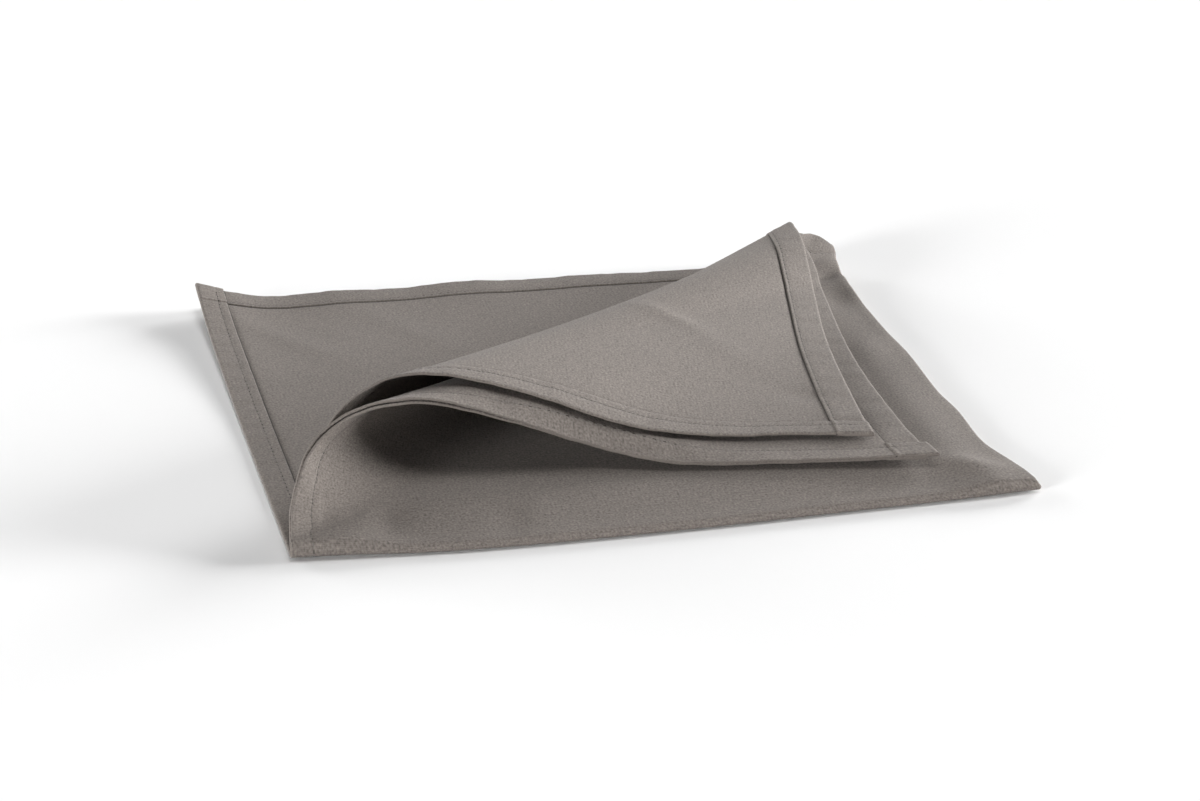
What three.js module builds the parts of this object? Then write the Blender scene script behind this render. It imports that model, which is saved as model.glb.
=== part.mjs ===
// Folded cloth napkin, in millimetres, +Z up.
// One square cloth is folded in quarters, so four plies lie on each other.
// The right-hand side is the first fold and the front side is the second fold.
// The open back-left corner of the upper three plies is turned over towards the front right,
// which leaves a hollow roll along the diagonal.
// Until the last step, x and y are measured from the front-left corner of the folded square.

import * as THREE from "three";

const SIDE = 250; // side of the folded square, half the side of the open napkin
const CLOTH = 1.0; // thickness of the cloth
const PAIR_STEP = 1.8; // between the middles of two plies that are joined at the right-hand fold
const MID_STEP = 1.9; // between the middles of the two plies inside the front fold
const CREASE_SOFT = 14; // half width of the rounding where the turned corner leaves the flat part
const CREASE_ZONE = 30; // distance from the diagonal over which that rounding fades
const LIFT_START = -45; // where the right-hand fold starts to rise, measured back from its end

const CORNER_LIFT = { height: 6.5, across: 42, from: 100 }; // raised back-left corner of the bottom ply
const BACK_WAVE = { height: 1.9, ripple: 0.5, pitch: 52, end: 195, fade: 90, start: 205 }; // its back hem

const FLAT_CELLS = 14; // mesh steps from the front-right corner to the diagonal
const ROLL_CELLS = 24; // mesh steps round the roll
const ROLL_RUN = 140; // length of cloth in the roll
const FLAP_CELLS = 7; // mesh steps from the roll to the turned corner
const CROSS_CELLS = 10; // mesh steps along the roll
const BEND_CELLS = 7; // mesh steps round each sharp fold

// Heights of the middles of the four plies where they lie flat.
const Z_BOTTOM = CLOTH / 2;
const Z_TOP_FLAP = Z_BOTTOM + PAIR_STEP;
const Z_MIDDLE_FLAP = Z_TOP_FLAP + MID_STEP;
const FRONT_IN = PAIR_STEP + MID_STEP / 2 + CLOTH / 2; // ends of the plies, from the front silhouette
const RIGHT_IN = PAIR_STEP / 2 + CLOTH / 2; // ends of the plies, from the right silhouette

// How far the two folded edges wander from a straight line, measured inwards.
const FRONT_FOLD = [
  { run: 0, inward: 0 },
  { run: 60, inward: -6 },
  { run: 130, inward: -6 },
  { run: 190, inward: -3.5 },
  { run: 250, inward: -1.5 },
];
// The right-hand side shows two folds, one for the lower pair of plies and one for the upper pair.
const RIGHT_FOLD = [
  { run: 0, lower: -1, upper: 1 },
  { run: 15, lower: 2, upper: 3 },
  { run: 35, lower: 4, upper: 6.5 },
  { run: 65, lower: 4, upper: 5 },
  { run: 85, lower: 4, upper: 5.5 },
  { run: 125, lower: 2.5, upper: 3 },
  { run: 150, lower: 2, upper: 3 },
  { run: 190, lower: 1.5, upper: 1.5 },
  { run: 250, lower: 0.5, upper: 0 },
];

// The hemmed edges of the middle flap, by the length of hem from the folded corner. The left hem
// rises from the corner, turns over at the crown, falls and lies flat up to the turned corner.
const MIDDLE_LEFT = [
  { run: 20, x: 3, y: 20, z: 12 },
  { run: 40, x: 10, y: 35, z: 22.5 },
  { run: 60, x: 26, y: 43, z: 32 },
  { run: 85, x: 50, y: 45, z: 34 },
  { run: 110, x: 75, y: 43, z: 27 },
  { run: 145, x: 108, y: 39, z: 14.5 },
  { run: 170, x: 132.5, y: 31, z: 9.8 },
  { run: 205, x: 169, y: 24, z: 9.4 },
  { run: 250, x: 218, y: 17, z: 9.4 },
];
// The back hem rises round the end of the right-hand fold, turns over and lies flat.
const MIDDLE_BACK = [
  { run: -20, x: 250, y: 230, z: 5 },
  { run: 0, x: 252, y: 243, z: 8 },
  { run: 14, x: 245, y: 247.5, z: 12 },
  { run: 28, x: 237, y: 240, z: 16.5 },
  { run: 42, x: 235, y: 226, z: 18 },
  { run: 60, x: 236, y: 209, z: 13 },
  { run: 80, x: 234, y: 191, z: 9.8 },
  { run: 160, x: 221, y: 112, z: 9.4 },
  { run: 225, x: 217, y: 44, z: 9.4 },
  { run: 250, x: 218, y: 17, z: 9.4 },
];

// The hemmed edges of the top flap, in the same way.
const TOP_LEFT = [
  { run: 20, x: 6, y: 22, z: 4.5 },
  { run: 40, x: 13, y: 39, z: 13 },
  { run: 60, x: 22, y: 53, z: 26 },
  { run: 80, x: 39, y: 60, z: 35 },
  { run: 100, x: 58, y: 59, z: 36.5 },
  { run: 130, x: 87, y: 52, z: 30 },
  { run: 165, x: 120, y: 44, z: 18.5 },
  { run: 195, x: 149, y: 42, z: 13 },
  { run: 225, x: 178, y: 40, z: 11.6 },
  { run: 250, x: 202, y: 34, z: 11.3 },
];
const TOP_BACK = [
  { run: -20, x: 248.5, y: 230, z: 2.3 },
  { run: 0, x: 248.5, y: 248, z: 2.4 },
  { run: 10, x: 243, y: 254, z: 4 },
  { run: 22, x: 237, y: 253, z: 12 },
  { run: 35, x: 235.5, y: 245, z: 19 },
  { run: 50, x: 234.5, y: 232, z: 21.5 },
  { run: 70, x: 231.5, y: 213, z: 22 },
  { run: 90, x: 228, y: 193, z: 18 },
  { run: 105, x: 226, y: 180, z: 13.5 },
  { run: 165, x: 214, y: 122, z: 12 },
  { run: 250, x: 202, y: 34, z: 11.3 },
];

const SOFT_TAPS = [
  { step: -1, weight: 1 / 9 },
  { step: -0.5, weight: 2 / 9 },
  { step: 0, weight: 3 / 9 },
  { step: 0.5, weight: 2 / 9 },
  { step: 1, weight: 1 / 9 },
];

const clamp01 = (value) => Math.min(1, Math.max(0, value));
const mix = (a, b, part) => a + (b - a) * part;

// Slope of one column of a table at one of its rows.
function slopeAt(rows, i, key) {
  const before = rows[Math.max(0, i - 1)];
  const after = rows[Math.min(rows.length - 1, i + 1)];
  return (after[key] - before[key]) / (after.run - before.run);
}

// Smooth value of one column of a table at a given run.
function along(rows, run, key) {
  let i = 0;
  while (i < rows.length - 2 && run > rows[i + 1].run) {
    i += 1;
  }
  const length = rows[i + 1].run - rows[i].run;
  const t = clamp01((run - rows[i].run) / length);
  const curve = t * t * (3 - 2 * t);
  const leave = t * (1 - t) * (1 - t) * length;
  const arrive = t * t * (t - 1) * length;
  const value = mix(rows[i][key], rows[i + 1][key], curve);
  return value + leave * slopeAt(rows, i, key) + arrive * slopeAt(rows, i + 1, key);
}

const pointOn = (rows, run) =>
  new THREE.Vector3(along(rows, run, "x"), along(rows, run, "y"), along(rows, run, "z"));

const END_Y = FRONT_IN + along(FRONT_FOLD, SIDE, "inward");

// Ends of a flat ply in the front fold and in the right-hand fold, for one pair of plies.
function frontEnd(run, z, pair) {
  const endX = SIDE - RIGHT_IN - along(RIGHT_FOLD, 0, pair);
  return new THREE.Vector3((run / SIDE) * endX, FRONT_IN + along(FRONT_FOLD, run, "inward"), z);
}
function rightEnd(run, z, pair) {
  const x = SIDE - RIGHT_IN - along(RIGHT_FOLD, run, pair);
  return new THREE.Vector3(x, mix(END_Y, SIDE, run / SIDE), z);
}

// A turned ply is made of straight lines that run along the diagonal, from its left hem or front
// fold to its back hem or right-hand fold. The distance s is measured across the diagonal.
function turnedPly(z, pair, left, back) {
  const corner = frontEnd(0, z, pair);
  const rise = rightEnd(SIDE + LIFT_START, z, pair);
  const leftRows = [{ run: 0, x: corner.x, y: corner.y, z }, ...left];
  const backRows = [{ run: LIFT_START, x: rise.x, y: rise.y, z }, ...back];
  const ruled = (s, t) => {
    const from = s >= 0 ? pointOn(leftRows, s) : frontEnd(-s, z, pair);
    const to = s >= LIFT_START ? pointOn(backRows, s) : rightEnd(SIDE + s, z, pair);
    return from.lerp(to, t);
  };
  return (s, t) => {
    const reach = CREASE_SOFT * 4 * t * (1 - t) * Math.max(0, 1 - Math.abs(s) / CREASE_ZONE);
    const point = new THREE.Vector3();
    for (const tap of SOFT_TAPS) {
      point.addScaledVector(ruled(s + tap.step * reach, t), tap.weight);
    }
    return point;
  };
}

// A ply that follows another one at a fixed distance above it.
function pairedPly(base, distance) {
  const probe = 2;
  const reach = 0.02;
  return (s, t) => {
    const middle = THREE.MathUtils.clamp(s, probe - SIDE, SIDE - 2 * probe);
    const low = Math.max(0, t - reach);
    const high = Math.min(1, t + reach);
    const across = base(middle, high).sub(base(middle, low));
    const turn = base(middle + probe, t).sub(base(middle - probe, t));
    return base(s, t).addScaledVector(across.cross(turn).normalize(), distance);
  };
}

// The bottom ply lies flat, with a raised back-left corner and a slightly wavy back hem.
function bottomPly() {
  const leftStart = frontEnd(0, 0, "lower");
  const backStart = rightEnd(SIDE, 0, "lower");
  return (s, t) => {
    const part = s / SIDE;
    const left = new THREE.Vector3(0, mix(leftStart.y, SIDE, part), 0);
    const back = new THREE.Vector3(mix(backStart.x, 0, part), SIDE, 0);
    const from = s >= 0 ? left : frontEnd(-s, 0, "lower");
    const to = s >= 0 ? back : rightEnd(SIDE + s, 0, "lower");
    const point = from.lerp(to, t);
    const sideways = clamp01(1 - point.x / CORNER_LIFT.across);
    const backwards = clamp01((point.y - CORNER_LIFT.from) / (SIDE - CORNER_LIFT.from));
    const lift = CORNER_LIFT.height * (sideways * backwards) ** 2;
    const wave = BACK_WAVE.height + BACK_WAVE.ripple * Math.cos((2 * Math.PI * point.x) / BACK_WAVE.pitch);
    const hem = clamp01((point.y - BACK_WAVE.start) / (SIDE - BACK_WAVE.start));
    const fade = clamp01((BACK_WAVE.end - point.x) / BACK_WAVE.fade);
    point.z = Z_BOTTOM + lift + wave * hem * hem * fade;
    return point;
  };
}

const topFlap = turnedPly(Z_TOP_FLAP, "lower", TOP_LEFT, TOP_BACK);
const middleFlap = turnedPly(Z_MIDDLE_FLAP, "upper", MIDDLE_LEFT, MIDDLE_BACK);
const PLIES = {
  bottom: { at: bottomPly(), faceUp: true },
  top: { at: topFlap, faceUp: false },
  middle: { at: middleFlap, faceUp: true },
  lowest: { at: pairedPly(middleFlap, PAIR_STEP), faceUp: false },
};

// Distances across the diagonal at which the plies are sampled.
function stations() {
  const list = [];
  for (let i = 0; i < FLAT_CELLS; i += 1) {
    list.push(mix(-SIDE, 0, i / FLAT_CELLS));
  }
  for (let i = 0; i < ROLL_CELLS; i += 1) {
    list.push(mix(0, ROLL_RUN, i / ROLL_CELLS));
  }
  for (let i = 0; i <= FLAP_CELLS; i += 1) {
    list.push(mix(ROLL_RUN, SIDE, i / FLAP_CELLS));
  }
  return list;
}

const points = [];
const faces = [];

function addPoint(point) {
  points.push(point);
  return points.length - 1;
}

// Two triangles between four corners. Corners that coincide leave one triangle.
function addQuad(a, b, c, d) {
  for (const face of [[a, b, c], [a, c, d]]) {
    if (new Set(face).size === 3) {
      faces.push(face);
    }
  }
}

function addPly(ply) {
  const rows = stations().map((s, i, all) => {
    const single = i === 0 || i === all.length - 1;
    const shared = single ? addPoint(ply.at(s, 0.5)) : -1;
    const row = [];
    for (let j = 0; j <= CROSS_CELLS; j += 1) {
      row.push(single ? shared : addPoint(ply.at(s, j / CROSS_CELLS)));
    }
    return row;
  });
  for (let i = 0; i + 1 < rows.length; i += 1) {
    for (let j = 0; j < CROSS_CELLS; j += 1) {
      const ring = [rows[i][j], rows[i][j + 1], rows[i + 1][j + 1], rows[i + 1][j]];
      addQuad(...(ply.faceUp ? ring : ring.reverse()));
    }
  }
  return rows;
}

// A half-round bend from one ply end to another, bulging away from the folded square.
function bendPoint(from, to, edge, part) {
  const span = to.clone().sub(from);
  const bulge = edge.clone().cross(span).normalize().multiplyScalar(span.length() / 2);
  const middle = from.clone().add(to).multiplyScalar(0.5);
  const angle = Math.PI * part;
  return middle.addScaledVector(span, -Math.cos(angle) / 2).addScaledVector(bulge, Math.sin(angle));
}

function addFold(lower, upper, column, edge, flip) {
  const strip = [];
  for (let i = 0; i <= FLAT_CELLS; i += 1) {
    const from = lower[i][column];
    const to = upper[i][column];
    const row = [from];
    for (let m = 1; m < BEND_CELLS; m += 1) {
      row.push(addPoint(bendPoint(points[from], points[to], edge, m / BEND_CELLS)));
    }
    row.push(to);
    strip.push(row);
  }
  for (let i = 0; i < FLAT_CELLS; i += 1) {
    for (let m = 0; m < BEND_CELLS; m += 1) {
      const ring = [strip[i][m], strip[i + 1][m], strip[i + 1][m + 1], strip[i][m + 1]];
      addQuad(...(flip ? ring.reverse() : ring));
    }
  }
  return strip[0];
}

// The closed front-right corner, where the two folds cross.
function addCorner(right, rightUpper, front, frontInner) {
  const grid = [];
  const last = BEND_CELLS;
  const corner = (index) => points[index];
  for (let a = 0; a <= last; a += 1) {
    const row = [];
    for (let b = 0; b <= last; b += 1) {
      const p = (1 - Math.cos((Math.PI * a) / last)) / 2;
      const q = (1 - Math.cos((Math.PI * b) / last)) / 2;
      if (b === 0 || b === last) {
        row.push(b === 0 ? right[a] : rightUpper[last - a]);
      } else if (a === 0 || a === last) {
        row.push(a === 0 ? front[b] : frontInner[b]);
      } else {
        const point = new THREE.Vector3();
        point.addScaledVector(corner(right[a]), 1 - q);
        point.addScaledVector(corner(rightUpper[last - a]), q);
        point.addScaledVector(corner(front[b]), 1 - p);
        point.addScaledVector(corner(frontInner[b]), p);
        point.addScaledVector(corner(front[0]), -(1 - p) * (1 - q));
        point.addScaledVector(corner(front[last]), -(1 - p) * q);
        point.addScaledVector(corner(frontInner[0]), -p * (1 - q));
        point.addScaledVector(corner(frontInner[last]), -p * q);
        row.push(addPoint(point));
      }
    }
    grid.push(row);
  }
  for (let a = 0; a < last; a += 1) {
    for (let b = 0; b < last; b += 1) {
      addQuad(grid[a][b], grid[a][b + 1], grid[a + 1][b + 1], grid[a + 1][b]);
    }
  }
}

// Direction of the cloth's own normal at each point, from the faces around it.
function pointNormals() {
  const normals = points.map(() => new THREE.Vector3());
  for (const face of faces) {
    face.forEach((index, k) => {
      const here = points[index];
      const one = points[face[(k + 1) % 3]].clone().sub(here);
      const two = points[face[(k + 2) % 3]].clone().sub(here);
      const angle = one.angleTo(two);
      normals[index].addScaledVector(one.cross(two).normalize(), angle);
    });
  }
  return normals.map((normal) => normal.normalize());
}

// Thickens the folded sheet to both sides and closes it along its hems.
function thicken(thickness) {
  const normals = pointNormals();
  const count = points.length;
  const position = [];
  for (const side of [0.5, -0.5]) {
    points.forEach((point, i) => {
      const moved = point.clone().addScaledVector(normals[i], side * thickness);
      position.push(moved.x, moved.y, moved.z);
    });
  }
  const index = [];
  const edges = new Map();
  for (const [a, b, c] of faces) {
    index.push(a, b, c, a + count, c + count, b + count);
    for (const [from, to] of [[a, b], [b, c], [c, a]]) {
      edges.set(`${from}_${to}`, [from, to]);
    }
  }
  for (const [from, to] of edges.values()) {
    if (!edges.has(`${to}_${from}`)) {
      index.push(from, from + count, to + count, from, to + count, to);
    }
  }
  const geometry = new THREE.BufferGeometry();
  geometry.setAttribute("position", new THREE.Float32BufferAttribute(position, 3));
  geometry.setIndex(index);
  return geometry;
}

function foldedCloth() {
  const bottom = addPly(PLIES.bottom);
  const top = addPly(PLIES.top);
  const middle = addPly(PLIES.middle);
  const lowest = addPly(PLIES.lowest);
  const alongFront = new THREE.Vector3(1, 0, 0);
  const alongRight = new THREE.Vector3(0, 1, 0);
  const right = addFold(bottom, top, CROSS_CELLS, alongRight, true);
  const rightUpper = addFold(middle, lowest, CROSS_CELLS, alongRight, true);
  const front = addFold(bottom, lowest, 0, alongFront, false);
  const frontInner = addFold(top, middle, 0, alongFront, true);
  addCorner(right, rightUpper, front, frontInner);
  const geometry = thicken(CLOTH);
  geometry.computeBoundingBox();
  const box = geometry.boundingBox;
  geometry.translate(-(box.min.x + box.max.x) / 2, -(box.min.y + box.max.y) / 2, -box.min.z);
  geometry.computeVertexNormals();
  return geometry;
}

const cloth = new THREE.MeshStandardMaterial({ color: 0x8e857e, roughness: 0.95, metalness: 0 });
const napkin = new THREE.Mesh(foldedCloth(), cloth);
napkin.name = "napkin";

const group = new THREE.Group();
group.add(napkin);

export default group;
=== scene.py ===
import math

import bpy
import numpy as np
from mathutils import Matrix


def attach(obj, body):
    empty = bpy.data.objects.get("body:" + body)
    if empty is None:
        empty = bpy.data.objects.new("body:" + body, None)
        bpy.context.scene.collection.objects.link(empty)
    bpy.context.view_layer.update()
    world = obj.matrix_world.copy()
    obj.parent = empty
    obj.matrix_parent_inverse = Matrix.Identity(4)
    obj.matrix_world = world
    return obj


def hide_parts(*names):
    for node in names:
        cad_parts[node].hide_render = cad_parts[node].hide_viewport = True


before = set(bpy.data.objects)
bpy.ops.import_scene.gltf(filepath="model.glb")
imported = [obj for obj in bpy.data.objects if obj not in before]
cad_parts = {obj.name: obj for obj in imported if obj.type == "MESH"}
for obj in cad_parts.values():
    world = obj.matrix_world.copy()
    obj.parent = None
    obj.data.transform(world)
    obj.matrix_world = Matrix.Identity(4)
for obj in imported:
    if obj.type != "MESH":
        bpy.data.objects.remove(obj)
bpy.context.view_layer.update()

# A square hemmed napkin, folded in quarters. The upper three plies have their open corner turned
# over towards the front right. Sizes are in millimetres, x and y from the front-left corner.
MM = 0.001
SIDE = 250.0  # side of the folded square
CENTRE = (126.88, 123.94)  # middle of the folded napkin's box
CLOTH = 1.0  # thickness that the plies are spaced for
PAIR_STEP = 1.8  # between two plies joined at the right-hand fold
MID_STEP = 1.9  # between the two plies inside the front fold
CREASE_SOFT = 14.0  # half width of the rounding along the diagonal
CREASE_ZONE = 30.0  # distance over which that rounding fades
LIFT_START = -45.0  # where the right-hand fold starts to rise

WEAVE_THICK = 0.55  # thickness of the woven cloth
SIDE_HEM = 10.5  # width of the left hems
BACK_HEM = 12.0  # width of the back hems
HEM_STEP = 0.45  # height of the hem's inner edge on the wrong side
HEM_RAMP_IN, HEM_RAMP_OUT = 0.15, 0.06  # the step's ramp on both sides of that edge
HEM_GROOVE, GROOVE_AT, GROOVE_WIDTH = 0.14, 0.2, 0.25  # groove along that edge
EDGE_ROUND = 0.5  # rounding of the cloth's edge
SEAM_PULL, SEAM_WIDTH = 0.14, 0.6  # furrow that the seam pulls into the hem
CORNER_STEP = 0.05  # extra height where two hems cross inside the folded stack
OPEN_CORNER_STEP = 0.4  # the same where there is room for it
CORNER_EMBOSS = 0.3  # how far the crossing hems show on the right side
SIDE_STITCH = 7.2  # seam from the left hems' edge
BACK_STITCH = 10.4  # seam from the back hems' edge
SEAM_START = 5.0  # first stitch from the end of a hem
STITCH_PITCH = 3.3
STITCH_LENGTH = 2.3
STITCH_RADIUS = 0.14
STITCH_LIFT, STITCH_SINK, STITCH_TAPER = 0.05, 1.8, 0.94  # how a stitch lies on the cloth and dips in
SEAM_GAP = 30.0  # stretch next to the right-hand fold where the back hem's painted needle-hole shade is hidden
HOLE_LENGTH, HOLE_WIDTH = 1.2, 0.45  # size of the painted shade in the needle holes between the stitches

BODY_LINES = 89  # mesh lines between the hem and the fold
BEND_CELLS = 8  # mesh steps round each sharp fold

CORNER_LIFT, CORNER_ACROSS, CORNER_FROM = 6.5, 42.0, 100.0  # raised back-left corner
WAVE_HEIGHT, WAVE_RIPPLE, WAVE_PITCH = 1.9, 0.5, 52.0  # wavy back hem of the bottom ply
WAVE_END, WAVE_FADE, WAVE_START = 195.0, 90.0, 205.0
FRONT_PRESS, FRONT_PRESS_REACH = 0.5, 30.0  # upper plies pressed flat along the front fold
RIGHT_PRESS, RIGHT_PRESS_REACH = 0.7, 20.0  # the same along the right-hand fold
FRONT_PRESS_LEFT = (15.0, 42.0)  # distances from the left hem between which the front press grows
FRONT_PRESS_RIGHT = (2.0, 35.0)  # the same from the right-hand fold
RIGHT_PRESS_BACK = (45.0, 70.0)  # distances from the back hem between which the right press grows
FLAT_ZONE = (-14.0, -2.0)  # where the stack stops lying flat, measured across the diagonal
LOWEST_RECESS = 1.6  # how far the lowest flap's corner lies inside the middle flap's
RECESS_RUN = (90.0, 150.0)  # runs along a hem between which that recess grows
RECESS_FADE = 60.0  # distance from the hem over which it fades
TOP_STACK, MIDDLE_STACK, LOWEST_STACK = 0.5, 0.75, 1.0  # how much of the stack's forms each ply shows
# How far the left hem's end stands out past the back edge, for each ply.
BOTTOM_END, TOP_END, MIDDLE_END, LOWEST_END = 1.0, 0.8, 2.2, 0.5

# Columns: run along the fold, how far the folded edge lies inwards.
FRONT_FOLD = ((0, 0), (60, -6), (130, -6), (190, -3.5), (250, -1.5))
# Columns: run along the fold, then the same for the lower and the upper pair of plies.
RIGHT_FOLD = (
    (0, -1, 1),
    (15, 2, 3),
    (35, 4, 6.5),
    (65, 4, 5),
    (85, 4, 5.5),
    (125, 2.5, 3),
    (150, 2, 3),
    (190, 1.5, 1.5),
    (250, 0.5, 0),
)
LOWER, UPPER = 0, 1

# Columns: length of hem from the folded corner, then x, y and z of the hem.
MIDDLE_LEFT = (
    (20, 3, 20, 12),
    (40, 10, 35, 22.5),
    (60, 26, 43, 32),
    (85, 50, 45, 34),
    (110, 75, 43, 27),
    (145, 108, 39, 14.5),
    (170, 132.5, 31, 9.8),
    (205, 169, 24, 9.4),
    (250, 218, 17, 9.4),
)
MIDDLE_BACK = (
    (-20, 250, 230, 5),
    (0, 252, 243, 8),
    (14, 245, 247.5, 12),
    (28, 237, 240, 16.5),
    (42, 235, 226, 18),
    (60, 235.5, 209, 13),
    (80, 232.8, 191, 9.8),
    (160, 221, 112, 9.4),
    (225, 217, 44, 9.4),
    (250, 218, 17, 9.4),
)
TOP_LEFT = (
    (20, 6, 22, 4.5),
    (40, 13, 39, 13),
    (60, 22, 53, 26),
    (80, 39, 60, 35),
    (100, 58, 59, 36.5),
    (130, 87, 52, 30),
    (165, 120, 44, 18.5),
    (195, 149, 42, 13),
    (225, 178, 40, 11.6),
    (250, 202, 34, 11.3),
)
TOP_BACK = (
    (-20, 248.5, 230, 2.3),
    (0, 248.5, 248, 2.4),
    (10, 243, 254, 4),
    (22, 237, 253, 12),
    (35, 236, 244.5, 19.1),
    (50, 234.4, 232, 21.1),
    (70, 231.5, 213, 22),
    (90, 228, 193, 18),
    (105, 226, 180, 13.5),
    (165, 214, 122, 12),
    (250, 202, 34, 11.3),
)
SOFT_TAPS = ((-1, 1 / 9), (-0.5, 2 / 9), (0, 3 / 9), (0.5, 2 / 9), (1, 1 / 9))

# Soft dents and ridges of the upper stack where it lies flat.
# Columns: x and y of the middle, half length, half width, heading in degrees, height.
STACK_FORMS = (
    (34, 13, 9, 5, 75, -1.0),
    (25, 15, 8, 5, 70, 0.6),
    (50, 20, 14, 7, 20, 0.5),
    (72, 9, 9, 5, 70, -0.9),
    (82, 17, 9, 6, 70, 0.5),
    (235, 16, 22, 5, -35, 0.9),
    (222, 100, 80, 18, 86, -1.3),
    (247, 100, 70, 9, 88, 0.5),
    (243, 214, 11, 3.5, 35, -1.7),
    (245, 228, 8, 6, 30, 0.9),
    (241, 190, 14, 6, 70, -0.8),
    (238, 132, 14, 7, 60, 0.6),
)
# The same for the bottom ply.
BOTTOM_FORMS = (
    (29, 202, 34, 6, -54, 0.5),
    (76, 203, 32, 6, -61, 0.4),
    (13, 180, 60, 7, 90, 0.6),
)
# The same for the top flap where it lies on the others.
TOP_FORMS = (
    (88, 189, 15, 5, 122, 0.7),
    (70, 205, 20, 9, 122, 0.4),
    (36, 232, 9, 6, 100, -0.5),
)
# The same for the wall of the roll, towards the hollow.
WALL_FORMS = (
    (0, 31, 7, 9, 0, 1.6),
    (8, 20, 3, 5, 90, 0.5),
    (12, 17, 5, 2, 90, -0.5),
)
# Columns: length of left hem from the folded corner, how far the middle flap bulges up there.
MIDDLE_BULGE = (
    (90, 0),
    (110, 1),
    (130, 2.7),
    (150, 3.4),
    (165, 2.7),
    (185, 1.2),
    (205, 0.2),
    (250, 0),
)
BULGE_FULL, BULGE_FADE, BULGE_END = 8.0, 12.0, 50.0  # distances from the left hem

Z_BOTTOM = CLOTH / 2
Z_TOP_FLAP = Z_BOTTOM + PAIR_STEP
Z_MIDDLE_FLAP = Z_TOP_FLAP + MID_STEP
FRONT_IN = PAIR_STEP + MID_STEP / 2 + CLOTH / 2
RIGHT_IN = PAIR_STEP / 2 + CLOTH / 2


def along(rows, run):
    """Smooth curve through the rows at the given runs."""
    rows = np.asarray(rows, float)
    knots, values = rows[:, 0], rows[:, 1:]
    slopes = np.empty_like(values)
    slopes[1:-1] = (values[2:] - values[:-2]) / (knots[2:] - knots[:-2])[:, None]
    slopes[0] = (values[1] - values[0]) / (knots[1] - knots[0])
    slopes[-1] = (values[-1] - values[-2]) / (knots[-1] - knots[-2])
    run = np.asarray(run, float)
    i = np.clip(np.searchsorted(knots, run, side="left") - 1, 0, len(knots) - 2)
    length = (knots[i + 1] - knots[i])[..., None]
    t = np.clip((run - knots[i])[..., None] / length, 0, 1)
    value = values[i] + (values[i + 1] - values[i]) * t * t * (3 - 2 * t)
    leave = t * (1 - t) ** 2 * length * slopes[i]
    return value + leave + t * t * (t - 1) * length * slopes[i + 1]


def points(x, y, z):
    return np.stack(np.broadcast_arrays(np.asarray(x, float), y, z), axis=-1)


def smooth(low, high, value):
    t = np.clip((value - low) / (high - low), 0, 1)
    return t * t * (3 - 2 * t)


END_Y = FRONT_IN + along(FRONT_FOLD, SIDE)[0]


def front_end(run, z, pair):
    end_x = SIDE - RIGHT_IN - along(RIGHT_FOLD, 0.0)[pair]
    return points(run / SIDE * end_x, FRONT_IN + along(FRONT_FOLD, run)[..., 0], z)


def right_end(run, z, pair):
    x = SIDE - RIGHT_IN - along(RIGHT_FOLD, run)[..., pair]
    return points(x, END_Y + (SIDE - END_Y) * run / SIDE, z)


def turned_ply(z, pair, left, back):
    """A ply of straight lines along the diagonal; s is measured across the diagonal."""
    corner = front_end(np.asarray(0.0), z, pair)
    rise = right_end(np.asarray(SIDE + LIFT_START), z, pair)
    left_rows = ((0, *corner),) + tuple(left)
    back_rows = ((LIFT_START, *rise),) + tuple(back)

    def ruled(s, t):
        rolled, risen = (s >= 0)[..., None], (s >= LIFT_START)[..., None]
        near = np.where(rolled, along(left_rows, s), front_end(np.maximum(0, -s), z, pair))
        far = np.where(risen, along(back_rows, s), right_end(np.minimum(SIDE, SIDE + s), z, pair))
        return near + (far - near) * t[..., None]

    def at(s, t):
        reach = CREASE_SOFT * 2 * np.sqrt(t * (1 - t)) * np.maximum(0, 1 - np.abs(s) / CREASE_ZONE)
        return sum(weight * ruled(s + step * reach, t) for step, weight in SOFT_TAPS)

    return at


def paired_ply(base, distance):
    """A ply that follows another one at a fixed distance above it."""
    probe, reach = 2.0, 0.02

    def at(s, t):
        middle = np.clip(s, probe - SIDE, SIDE - 2 * probe)
        across = base(middle, np.minimum(1, t + reach)) - base(middle, np.maximum(0, t - reach))
        turn = base(middle + probe, t) - base(middle - probe, t)
        up = np.cross(across, turn)
        return base(s, t) + distance * up / np.linalg.norm(up, axis=-1, keepdims=True)

    return at


def bottom_ply(s, t):
    """The ply on the table, with a raised back-left corner and a slightly wavy back hem."""
    part = s / SIDE
    start = front_end(np.asarray(0.0), 0.0, LOWER)[1]
    stop = right_end(np.asarray(SIDE), 0.0, LOWER)[0]
    upper = (s >= 0)[..., None]
    left = points(0, start + (SIDE - start) * part, 0)
    back = points(stop * (1 - part), SIDE, 0)
    near = np.where(upper, left, front_end(np.maximum(0, -s), 0, LOWER))
    far = np.where(upper, back, right_end(np.minimum(SIDE, SIDE + s), 0, LOWER))
    flat = near + (far - near) * t[..., None]
    x, y = flat[..., 0], flat[..., 1]
    sideways = np.clip(1 - x / CORNER_ACROSS, 0, 1)
    backwards = np.clip((y - CORNER_FROM) / (SIDE - CORNER_FROM), 0, 1)
    wave = WAVE_HEIGHT + WAVE_RIPPLE * np.cos(2 * math.pi * x / WAVE_PITCH)
    hem = np.clip((y - WAVE_START) / (SIDE - WAVE_START), 0, 1)
    fade = np.clip((WAVE_END - x) / WAVE_FADE, 0, 1)
    flat[..., 2] = Z_BOTTOM + CORNER_LIFT * (sideways * backwards) ** 2 + wave * hem**2 * fade
    return flat


MIDDLE_FLAP = turned_ply(Z_MIDDLE_FLAP, UPPER, MIDDLE_LEFT, MIDDLE_BACK)
TOP_FLAP = turned_ply(Z_TOP_FLAP, LOWER, TOP_LEFT, TOP_BACK)
LOWEST_FLAP = paired_ply(MIDDLE_FLAP, PAIR_STEP)


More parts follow.
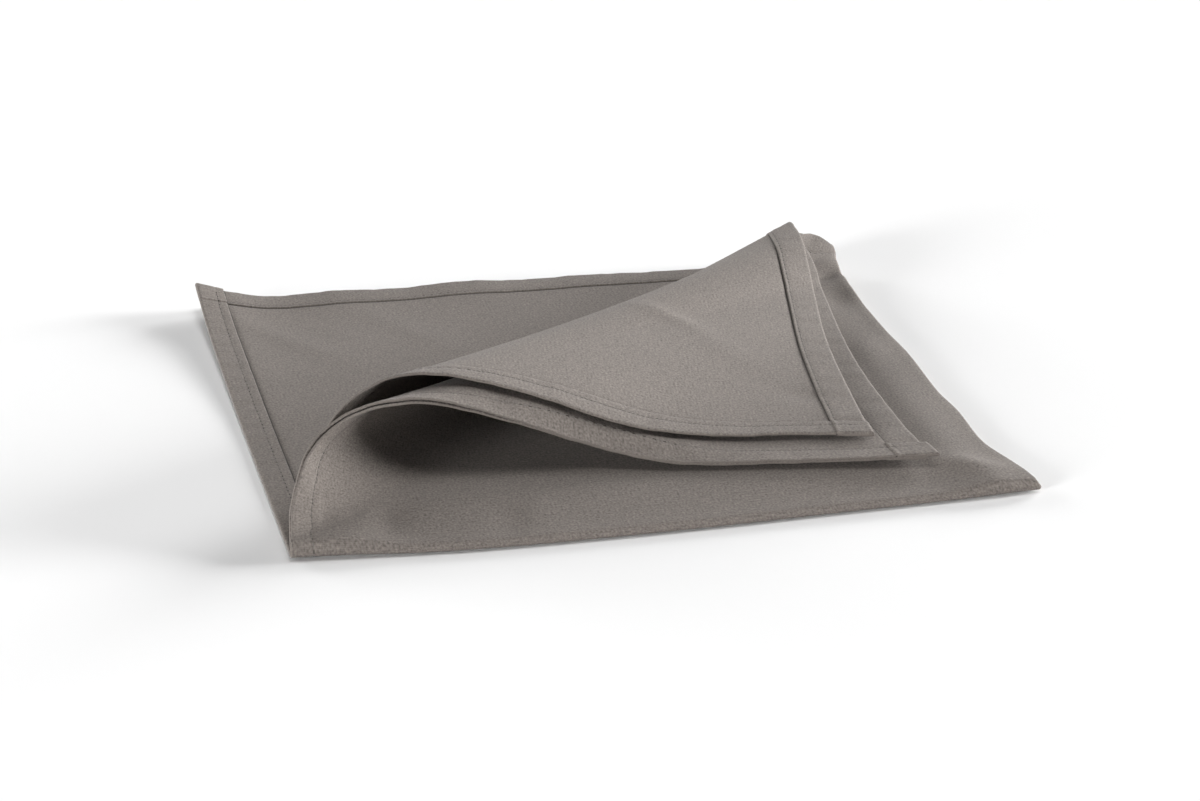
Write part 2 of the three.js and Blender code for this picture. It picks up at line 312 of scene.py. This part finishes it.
def forms(rows, x, y):
    """Summed height of the soft forms at flat coordinates."""
    total = 0.0
    for at_x, at_y, length, width, heading, height in rows:
        turn = math.radians(heading)
        ahead = (x - at_x) * math.cos(turn) + (y - at_y) * math.sin(turn)
        aside = (y - at_y) * math.cos(turn) - (x - at_x) * math.sin(turn)
        total = total + height * np.exp(-((ahead / length) ** 2) - (aside / width) ** 2)
    return total


# Columns: pitch of the pucker along the hem, phase, height.
PUCKERS = ((7.3, 0.4, 0.05), (11.9, 2.1, 0.07), (18.7, 4.0, 0.06))
PUCKER_IN, PUCKER_OUT = 5.0, 4.0  # how the pucker fades about the hem's inner edge
PUCKER_SHIFT = 30.0  # sets the back hem's pucker apart from the left hem's


def pucker(edge, run):
    """Unevenness of a hem at a distance from its edge and a run along it."""
    wave = sum(h * np.sin(2 * math.pi * run / pitch + phase) for pitch, phase, h in PUCKERS)
    return wave * (1 - smooth(BACK_HEM - PUCKER_IN, BACK_HEM + PUCKER_OUT, edge))


def inside_hem(edge, hem):
    """1 on a hem of the given width, 0 past its inner edge."""
    return 1 - smooth(hem - HEM_RAMP_IN, hem + HEM_RAMP_OUT, edge)


def ply_block(ply, xs, ys, stack=0.0, spots=(), wall=(), bulge=0.0, recess=0.0, end=0.0):
    """Points of a ply at distances xs from its left hem and ys from its back hem."""
    x, y = np.broadcast_arrays(xs[:, None], (SIDE - ys)[None, :])
    inset_x = x + recess * smooth(*RECESS_RUN, y) * (1 - smooth(0, RECESS_FADE, x))
    inset_y = y - recess * smooth(*RECESS_RUN, SIDE - x) * smooth(SIDE - RECESS_FADE, SIDE, y)
    s = inset_y - inset_x
    span = SIDE - np.abs(s)
    t = np.where(span < 1e-6, 0.5, np.where(s >= 0, inset_x, inset_y) / np.maximum(span, 1e-6))
    block = ply(s, np.clip(t, 0, 1))
    flat = 1 - smooth(*FLAT_ZONE, y - x)
    inner = smooth(*FRONT_PRESS_LEFT, x) * smooth(*FRONT_PRESS_RIGHT, SIDE - x)
    front = (1 - smooth(0, FRONT_PRESS_REACH, y)) * inner
    if stack:
        block[..., 2] += stack * flat * forms(STACK_FORMS, x, y)
        right = (1 - smooth(0, RIGHT_PRESS_REACH, SIDE - x)) * smooth(*RIGHT_PRESS_BACK, SIDE - y)
        press = np.minimum(1 - (1 - FRONT_PRESS) * front, 1 - (1 - RIGHT_PRESS) * right)
        block[..., 2] = Z_BOTTOM + (block[..., 2] - Z_BOTTOM) * press
    block[..., 2] += forms(spots, x, y)
    across = smooth(0, BULGE_FULL, x) * (1 - smooth(BULGE_FADE, BULGE_END, x))
    block[..., 2] += bulge * along(MIDDLE_BULGE, np.maximum(y, MIDDLE_BULGE[0][0]))[..., 0] * across
    normal = np.cross(np.gradient(block, axis=1), np.gradient(block, axis=0))
    normal /= np.linalg.norm(normal, axis=-1, keepdims=True)
    block += (forms(wall, x, y) + np.zeros_like(x))[..., None] * normal
    block[..., 1] -= (1 - FRONT_PRESS) * (PAIR_STEP + MID_STEP / 2) * front
    block[..., 2] += (pucker(x, y) + pucker(SIDE - y, x + PUCKER_SHIFT)) * (s > 0)
    hem_line = int(np.argmin(np.abs(ys - BACK_HEM)))
    outward = block[:, 0] - block[:, hem_line]
    outward /= np.linalg.norm(outward, axis=-1, keepdims=True)
    shift = end * inside_hem(x, SIDE_HEM) * (1 - smooth(0, 2 * BACK_HEM, SIDE - y))
    return block + shift[..., None] * outward[:, None]


def hem_lines(stitch, hem):
    """Mesh lines from a hemmed edge to the fold, close together where the hem has relief."""
    near = [0, 0.2, 0.5, 1.2, 3.2, stitch - 2.2, stitch - 0.6, stitch, stitch + 0.6]
    near += [hem - 0.45, hem - 0.12, hem + 0.05, hem + 0.3, hem + 1.0]
    return np.concatenate([near, np.linspace(hem + 2.6, SIDE, BODY_LINES)])


def bend(start, stop, edge):
    """Half-round bends from the start points to the stop points, without those ends."""
    span = stop - start
    bulge = np.cross(edge, span)
    length = np.linalg.norm(bulge, axis=-1, keepdims=True)
    bulge *= 0.5 * np.linalg.norm(span, axis=-1, keepdims=True) / length
    bulge *= np.where((bulge * np.cross(edge, (0, 0, 1))).sum(-1, keepdims=True) < 0, -1, 1)
    rows = []
    for step in range(1, BEND_CELLS):
        angle = math.pi * step / BEND_CELLS
        rows.append((start + stop) / 2 - span * math.cos(angle) / 2 + bulge * math.sin(angle))
    return np.stack(rows)


def fill_corner(grid, low, high):
    """Fills the square patch where the two folds cross from the four bends around it."""
    cells = high - low
    ease = (1 - np.cos(math.pi * np.arange(1, cells) / cells)) / 2
    p, q = ease[:, None, None], ease[None, :, None]
    inner = slice(low + 1, high)
    patch = (1 - q) * grid[inner, low][:, None] + q * grid[inner, high][:, None]
    patch = patch + (1 - p) * grid[low, inner][None] + p * grid[high, inner][None]
    patch -= (1 - p) * (1 - q) * grid[low, low] + (1 - p) * q * grid[low, high]
    patch -= p * (1 - q) * grid[high, low] + p * q * grid[high, high]
    grid[inner, inner] = patch


def folded_sheet():
    """Middle surface of the whole cloth as a grid, with the cloth's own flat coordinates."""
    xs, ys = hem_lines(SIDE_STITCH, SIDE_HEM), hem_lines(BACK_STITCH, BACK_HEM)
    n, m = len(xs) - 1, BEND_CELLS
    size = 2 * n + m + 1
    grid = np.zeros((size, size, 3))
    bottom = ply_block(bottom_ply, xs, ys, spots=BOTTOM_FORMS, end=BOTTOM_END)
    top = ply_block(TOP_FLAP, xs, ys, stack=TOP_STACK, spots=TOP_FORMS, end=TOP_END)
    roll = {"wall": WALL_FORMS, "bulge": 1}
    middle = ply_block(MIDDLE_FLAP, xs, ys, stack=MIDDLE_STACK, end=MIDDLE_END, **roll)
    lowest = ply_block(
        LOWEST_FLAP, xs, ys, stack=LOWEST_STACK, recess=LOWEST_RECESS, end=LOWEST_END, **roll
    )
    grid[: n + 1, : n + 1] = bottom
    grid[n + m :, : n + 1] = top[::-1]
    grid[n + m :, n + m :] = middle[::-1, ::-1]
    grid[: n + 1, n + m :] = lowest[:, ::-1]
    along_x, along_y = np.array((1.0, 0, 0)), np.array((0, 1.0, 0))
    for rows in (slice(0, n + 1), slice(n + m, size)):
        grid[n + 1 : n + m, rows] = bend(grid[n, rows], grid[n + m, rows], along_y)
        grid[rows, n + 1 : n + m] = bend(grid[rows, n], grid[rows, n + m], along_x).swapaxes(0, 1)
    fill_corner(grid, n, n + m)
    turn = math.pi * PAIR_STEP / 2
    wrap = math.pi * (PAIR_STEP + MID_STEP) / 2
    steps = np.arange(1, m) / m
    u = np.concatenate([xs, SIDE + turn * steps, 2 * SIDE + turn - xs[::-1]])
    v = np.concatenate([ys, SIDE + wrap * steps, 2 * SIDE + wrap - ys[::-1]])
    return grid, u, v, n


def unit_normals(grid):
    normal = np.cross(np.gradient(grid, axis=0), np.gradient(grid, axis=1))
    return normal / np.linalg.norm(normal, axis=-1, keepdims=True)


def edge_distance(line):
    return np.minimum(line, line[-1] - line)


def hem_relief(u, v, n):
    """Heights of the right and the wrong face above the middle surface."""
    du, dv = edge_distance(u)[:, None], edge_distance(v)[None, :]
    inwards = np.minimum(np.minimum(du, dv) / EDGE_ROUND, 1)
    round_off = np.sqrt(np.clip(1 - (1 - inwards) ** 2, 0.2, 1))
    side, back = inside_hem(du, SIDE_HEM), inside_hem(dv, BACK_HEM)
    corner = np.full((len(u), len(v)), CORNER_STEP)
    corner[:, : n + 1] = OPEN_CORNER_STEP
    wrong = WEAVE_THICK / 2 + HEM_STEP * np.maximum(side, back) + corner * side * back
    side_groove = np.exp(-(((du - SIDE_HEM - GROOVE_AT) / GROOVE_WIDTH) ** 2)) * (1 - back)
    back_groove = np.exp(-(((dv - BACK_HEM - GROOVE_AT) / GROOVE_WIDTH) ** 2)) * (1 - side)
    wrong -= HEM_GROOVE * np.maximum(side_groove, back_groove)
    right = WEAVE_THICK / 2 + CORNER_EMBOSS * side * back
    side_seam = np.exp(-(((du - SIDE_STITCH) / SEAM_WIDTH) ** 2))
    back_seam = np.exp(-(((dv - BACK_STITCH) / SEAM_WIDTH) ** 2))
    pull = SEAM_PULL * np.minimum(side_seam + back_seam, 1)
    return (right - pull) * round_off, (wrong - pull) * round_off


def to_scene(grid):
    shift = np.array((CENTRE[0], CENTRE[1], 0.0))
    return (grid - shift) * MM


def new_object(name, verts, faces):
    mesh = bpy.data.meshes.new(name)
    mesh.from_pydata(np.asarray(verts).tolist(), [], faces)
    mesh.polygons.foreach_set("use_smooth", np.ones(len(mesh.polygons), bool))
    obj = bpy.data.objects.new(name, mesh)
    bpy.context.scene.collection.objects.link(obj)
    return obj


UV_SPAN = 1040.0  # millimetres of cloth across the whole map; the wrong side starts half-way


def cloth_object(grid, normal, right, wrong, u, v):
    rows, cols = len(u), len(v)
    face_r = grid + normal * right[..., None]
    face_w = grid - normal * wrong[..., None]
    verts = np.concatenate([to_scene(face_r).reshape(-1, 3), to_scene(face_w).reshape(-1, 3)])
    index = np.arange(rows * cols).reshape(rows, cols)
    a, b = index[:-1, :-1], index[1:, :-1]
    c, d = index[1:, 1:], index[:-1, 1:]
    top = np.stack([a, b, c, d], -1).reshape(-1, 4)
    under = top[:, ::-1] + rows * cols
    rims = []
    for line in (index[::-1, 0], index[:, -1], index[0, :], index[-1, ::-1]):
        start, stop = line[:-1], line[1:]
        rims.append(np.stack([start, stop, stop + rows * cols, start + rows * cols], -1))
    faces = np.concatenate([top, under] + rims)
    obj = new_object("napkin_cloth", verts, faces.tolist())
    uu, vv = np.meshgrid(u / UV_SPAN, v / UV_SPAN, indexing="ij")
    flat = np.stack([uu, vv], -1).reshape(-1, 2)
    flat = np.concatenate([flat, flat + np.array((0.5, 0.0))])
    layer = obj.data.uv_layers.new(name="cloth")
    loops = np.empty(len(obj.data.loops), np.int32)
    obj.data.loops.foreach_get("vertex_index", loops)
    layer.data.foreach_set("uv", flat[loops].astype(np.float32).ravel())
    return obj


def stitch_run(run, line, normal, height, covered, verts, faces):
    """Adds thread stitches along one line of the cloth, on the face that the normal points from."""
    count = int((run[-1] - 2 * SEAM_START) / STITCH_PITCH)
    rings, sides = 5, 6
    for k in range(count):
        centre = SEAM_START + (k + 0.5) * STITCH_PITCH
        if min(centre, run[-1] - centre) < covered:
            continue
        at = centre + np.linspace(-0.5, 0.5, rings) * STITCH_LENGTH
        base = np.stack([np.interp(at, run, line[:, i]) for i in range(3)], -1)
        up = np.stack([np.interp(at, run, normal[:, i]) for i in range(3)], -1)
        up /= np.linalg.norm(up, axis=1, keepdims=True)
        lift = np.interp(at, run, height)
        ahead = np.gradient(base, axis=0)
        ahead /= np.linalg.norm(ahead, axis=1, keepdims=True)
        across = np.cross(up, ahead)
        swell = np.sqrt(1 - np.linspace(-STITCH_TAPER, STITCH_TAPER, rings) ** 2)
        sink = STITCH_RADIUS * (1 - swell) * STITCH_SINK
        first = len(verts)
        for r in range(rings):
            middle = base[r] + up[r] * (lift[r] + STITCH_LIFT - sink[r])
            for side in range(sides):
                angle = 2 * math.pi * side / sides
                arm = across[r] * math.cos(angle) + up[r] * math.sin(angle)
                verts.append(middle + arm * STITCH_RADIUS * swell[r])
        for r in range(rings - 1):
            for side in range(sides):
                nxt = (side + 1) % sides
                faces.append(
                    [first + r * sides + side, first + (r + 1) * sides + side]
                    + [first + (r + 1) * sides + nxt, first + r * sides + nxt]
                )
        faces.append([first + side for side in range(sides)])
        end = first + (rings - 1) * sides
        faces.append([end + side for side in reversed(range(sides))])


def stitching_object(grid, normal, right, wrong, u, v):
    verts, faces = [], []
    du, dv = edge_distance(u), edge_distance(v)
    for i in np.where(np.abs(du - SIDE_STITCH) < 1e-6)[0]:
        stitch_run(v, grid[i], normal[i], right[i], 0, verts, faces)
        stitch_run(v, grid[i], -normal[i], wrong[i], 0, verts, faces)
    for j in np.where(np.abs(dv - BACK_STITCH) < 1e-6)[0]:
        stitch_run(u, grid[:, j], normal[:, j], right[:, j], 0, verts, faces)
        stitch_run(u, grid[:, j], -normal[:, j], wrong[:, j], SIDE_HEM + 1, verts, faces)
    return new_object("hem_stitching", to_scene(np.array(verts)), faces)


def node(tree, kind, **settings):
    made = tree.nodes.new(kind)
    for key, value in settings.items():
        setattr(made, key, value)
    return made


def math_node(tree, operation, *values):
    made = node(tree, "ShaderNodeMath", operation=operation)
    for socket, value in zip(made.inputs, values):
        if isinstance(value, (int, float)):
            socket.default_value = value
        else:
            tree.links.new(value, socket)
    return made.outputs[0]


def below(tree, value, full, none):
    """1 where the value is under the first limit, 0 above the second, smooth between."""
    made = node(tree, "ShaderNodeMapRange", interpolation_type="SMOOTHSTEP")
    tree.links.new(value, made.inputs["Value"])
    made.inputs["From Min"].default_value = full
    made.inputs["From Max"].default_value = none
    made.inputs["To Min"].default_value = 1.0
    made.inputs["To Max"].default_value = 0.0
    return made.outputs["Result"]


WEAVE_PITCH = 0.42  # millimetres from thread to thread
WRONG_SIDE_FROM = 0.492  # where the wrong side starts in the map
WEAVE_SHARE, THREAD_SHARE, GRAIN_SHARE, CLOUD_SHARE = 0.2, 0.27, 1.08, 0.12  # parts of the tone
TONE_SHIFT = 0.35  # taken off the sum of those parts
CREASE_SHADE = 0.75  # strength of the painted shade along a hem's inner edge, where the folded hem meets the cloth
HOLE_SHADE_LEAST, HOLE_SHADE_VARIES = 0.4, 0.45  # least strength of the painted shade in the needle holes, and what patches add
# Lowest end of the cloth ramp: the cloth's own deepest grain, and also the colour that the painted
# shade leads to.
DARK_CLOTH_AND_SHADE = (0.0142, 0.0125, 0.0113, 1)
PALE_CLOTH = (0.277, 0.243, 0.218, 1)
DARK_THREAD = (0.13, 0.119, 0.109, 1)
PALE_THREAD = (0.18, 0.164, 0.151, 1)


def cloth_material(u_end, v_end):
    mat = bpy.data.materials.new("woven_cloth")
    mat.use_nodes = True
    tree = mat.node_tree
    shader = tree.nodes["Principled BSDF"]

    def m(operation, *values):
        return math_node(tree, operation, *values)

    uv = node(tree, "ShaderNodeUVMap", uv_map="cloth")
    split = node(tree, "ShaderNodeSeparateXYZ")
    tree.links.new(uv.outputs[0], split.inputs[0])
    wrong_side = m("GREATER_THAN", split.outputs[0], WRONG_SIDE_FROM)
    u = m("MULTIPLY", m("MULTIPLY_ADD", wrong_side, -0.5, split.outputs[0]), UV_SPAN)
    v = m("MULTIPLY", split.outputs[1], UV_SPAN)
    du = m("MINIMUM", u, m("SUBTRACT", u_end, u))
    dv = m("MINIMUM", v, m("SUBTRACT", v_end, v))

    # Painted shade of the needle holes: short dashes between the stitches, in place of the shadow
    # inside each hole.
    def needle_hole_shade(edge, run, end, stitch):
        beat = m("FRACT", m("MULTIPLY_ADD", run, 1 / STITCH_PITCH, 0.5 - SEAM_START / STITCH_PITCH))
        gap = m("MULTIPLY", m("ABSOLUTE", m("SUBTRACT", beat, 0.5)), STITCH_PITCH)
        lengthwise = below(tree, gap, HOLE_LENGTH * 0.3, HOLE_LENGTH * 0.6)
        aside = m("ABSOLUTE", m("SUBTRACT", edge, stitch))
        across = below(tree, aside, HOLE_WIDTH * 0.25, HOLE_WIDTH * 0.7)
        inside = m("GREATER_THAN", m("MINIMUM", run, m("SUBTRACT", end, run)), SEAM_START - 1)
        return m("MULTIPLY", m("MULTIPLY", lengthwise, across), inside)

    side_hole_shade = needle_hole_shade(du, v, v_end, SIDE_STITCH)
    back_hole_shade = needle_hole_shade(dv, u, u_end, BACK_STITCH)
    open_seam = m("MAXIMUM", m("GREATER_THAN", du, SIDE_HEM), m("SUBTRACT", 1.0, wrong_side))
    fold_gap = m("GREATER_THAN", m("ABSOLUTE", m("SUBTRACT", u, u_end / 2)), SEAM_GAP)
    back_hole_shade = m("MULTIPLY", back_hole_shade, m("MULTIPLY", open_seam, fold_gap))
    hole_shade = m("MAXIMUM", side_hole_shade, back_hole_shade)

    # Painted shade along each hem's inner edge on the wrong side, in place of the shadow in the gap
    # under the folded hem.
    def hem_edge_shade(edge, hem, reach):
        line = below(tree, m("ABSOLUTE", m("SUBTRACT", edge, hem + 0.22)), 0.1, 0.4)
        return m("MULTIPLY", line, reach)

    side_edge_shade = hem_edge_shade(du, SIDE_HEM, 1.0)
    back_edge_shade = hem_edge_shade(dv, BACK_HEM, m("GREATER_THAN", du, SIDE_HEM))
    crease_shade = m("MULTIPLY", m("MAXIMUM", side_edge_shade, back_edge_shade), wrong_side)

    warp_sine = m("SINE", m("MULTIPLY", u, math.pi / WEAVE_PITCH))
    weft_sine = m("SINE", m("MULTIPLY", v, math.pi / WEAVE_PITCH))

    def thread(own, other, sign):
        over = m("MULTIPLY_ADD", m("MULTIPLY", m("SIGN", own), other), 0.5 * sign, 0.5)
        return m("MULTIPLY", m("ABSOLUTE", own), over)

    weave = m("MAXIMUM", thread(warp_sine, weft_sine, 1), thread(weft_sine, warp_sine, -1))

    def noise(scale, detail):
        mapping = node(tree, "ShaderNodeMapping")
        mapping.inputs["Scale"].default_value = scale
        made = node(tree, "ShaderNodeTexNoise")
        made.inputs["Scale"].default_value = 1.0
        made.inputs["Detail"].default_value = detail
        tree.links.new(uv.outputs[0], mapping.inputs["Vector"])
        tree.links.new(mapping.outputs[0], made.inputs["Vector"])
        return made.outputs["Fac"]

    # Patches of noise vary the strength of the painted needle-hole shade.
    patchy = below(tree, noise((45, 45, 1), 1.0), 0.62, 0.38)
    hole_shade = m("MULTIPLY", hole_shade, m("MULTIPLY_ADD", patchy, HOLE_SHADE_VARIES, HOLE_SHADE_LEAST))
    # All painted shade together, from the needle holes and the hems' inner edges; it pulls the tone
    # down towards the ramp's lowest colour.
    painted_shade = m("MAXIMUM", hole_shade, m("MULTIPLY", crease_shade, CREASE_SHADE))
    threads = m("ADD", noise((1500, 220, 1), 1.0), noise((220, 1500, 1), 1.0))
    grain = noise((1300, 1300, 1), 2.0)
    cloud = noise((30, 30, 1), 2.0)
    tone = m("MULTIPLY_ADD", weave, WEAVE_SHARE, m("MULTIPLY", threads, THREAD_SHARE))
    tone = m("ADD", tone, m("MULTIPLY_ADD", grain, GRAIN_SHARE, m("MULTIPLY", cloud, CLOUD_SHARE)))
    tone = m("SUBTRACT", tone, TONE_SHIFT)
    tone = m("MULTIPLY", tone, m("SUBTRACT", 1.0, painted_shade))
    ramp = node(tree, "ShaderNodeValToRGB")
    ramp.color_ramp.elements[0].color = DARK_CLOTH_AND_SHADE
    ramp.color_ramp.elements[1].color = PALE_CLOTH
    tree.links.new(tone, ramp.inputs["Fac"])
    tree.links.new(ramp.outputs["Color"], shader.inputs["Base Color"])
    height = m("MULTIPLY_ADD", threads, 0.4, m("MULTIPLY_ADD", grain, 0.4, weave))
    bump = node(tree, "ShaderNodeBump")
    bump.inputs["Strength"].default_value = 0.3
    bump.inputs["Distance"].default_value = 0.0001
    tree.links.new(height, bump.inputs["Height"])
    tree.links.new(bump.outputs["Normal"], shader.inputs["Normal"])
    shader.inputs["Roughness"].default_value = 0.85
    shader.inputs["Specular IOR Level"].default_value = 0.25
    shader.inputs["Sheen Weight"].default_value = 0.04
    shader.inputs["Sheen Roughness"].default_value = 0.5
    return mat


def thread_material():
    mat = bpy.data.materials.new("hem_thread")
    mat.use_nodes = True
    tree = mat.node_tree
    shader = tree.nodes["Principled BSDF"]
    noise = node(tree, "ShaderNodeTexNoise")
    noise.inputs["Scale"].default_value = 900.0
    ramp = node(tree, "ShaderNodeValToRGB")
    ramp.color_ramp.elements[0].color = DARK_THREAD
    ramp.color_ramp.elements[1].color = PALE_THREAD
    tree.links.new(noise.outputs["Fac"], ramp.inputs["Fac"])
    tree.links.new(ramp.outputs["Color"], shader.inputs["Base Color"])
    shader.inputs["Roughness"].default_value = 0.8
    return mat


FLOOR_HALF, FLOOR_Z = 3.0, -0.0003  # metres


def floor_object():
    size, z = FLOOR_HALF, FLOOR_Z
    corners = [(-size, -size, z), (size, -size, z), (size, size, z), (-size, size, z)]
    obj = new_object("floor", corners, [(0, 1, 2, 3)])
    mat = bpy.data.materials.new("pale_floor")
    mat.use_nodes = True
    shader = mat.node_tree.nodes["Principled BSDF"]
    shader.inputs["Base Color"].default_value = (0.95, 0.95, 0.95, 1)
    shader.inputs["Roughness"].default_value = 0.9
    shader.inputs["Specular IOR Level"].default_value = 0.0
    obj.data.materials.append(mat)


ROOM_LIGHT = 0.01
# Columns: name, azimuth and elevation in degrees, strength, width in degrees.
LIGHTS = (
    ("right_low", 0, 8, 5.8, 22),
    ("back_right", 38, 14, 3.2, 22),
    ("front_left_low", 213, 8, 3.8, 22),
    ("back_left", 124, 12, 1.7, 22),
    ("above", 0, 80, 0.9, 28),
)


def soft_sun(name, azimuth, elevation, strength, width):
    """Wide soft light from far away; azimuth counts from the right towards the back."""
    data = bpy.data.lights.new(name, "SUN")
    data.energy = strength
    data.angle = math.radians(width)
    obj = bpy.data.objects.new(name, data)
    obj.rotation_euler = (0, math.radians(90 - elevation), math.radians(azimuth))
    bpy.context.scene.collection.objects.link(obj)


CAMERA_PLACE = (-249.6, -1051.3, 405.0)
CAMERA_TURN, CAMERA_DIP = 13.49, 20.66
CAMERA_LENS = 96.7


def camera():
    data = bpy.data.cameras.new("camera")
    data.sensor_width = 36.0
    data.lens = CAMERA_LENS
    data.clip_end = 50.0
    obj = bpy.data.objects.new("camera", data)
    obj.location = [value * MM for value in CAMERA_PLACE]
    obj.rotation_euler = (math.radians(90 - CAMERA_DIP), 0, math.radians(-CAMERA_TURN))
    bpy.context.scene.collection.objects.link(obj)
    bpy.context.scene.camera = obj


def lighting():
    world = bpy.data.worlds.new("studio")
    bpy.context.scene.world = world
    world.use_nodes = True
    back = world.node_tree.nodes["Background"]
    back.inputs["Color"].default_value = (1, 1, 1, 1)
    back.inputs["Strength"].default_value = ROOM_LIGHT
    for light in LIGHTS:
        soft_sun(*light)
    bpy.context.scene.view_settings.view_transform = "Standard"


GRID, LINE_U, LINE_V, PLY_LINES = folded_sheet()
NORMAL = unit_normals(GRID)
RIGHT_FACE, WRONG_FACE = hem_relief(LINE_U, LINE_V, PLY_LINES)
cloth = cloth_object(GRID, NORMAL, RIGHT_FACE, WRONG_FACE, LINE_U, LINE_V)
cloth.data.materials.append(cloth_material(float(LINE_U[-1]), float(LINE_V[-1])))
stitches = stitching_object(GRID, NORMAL, RIGHT_FACE, WRONG_FACE, LINE_U, LINE_V)
stitches.data.materials.append(thread_material())

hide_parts("napkin")
for piece in (cloth, stitches):
    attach(piece, "root")

floor_object()
lighting()
camera()
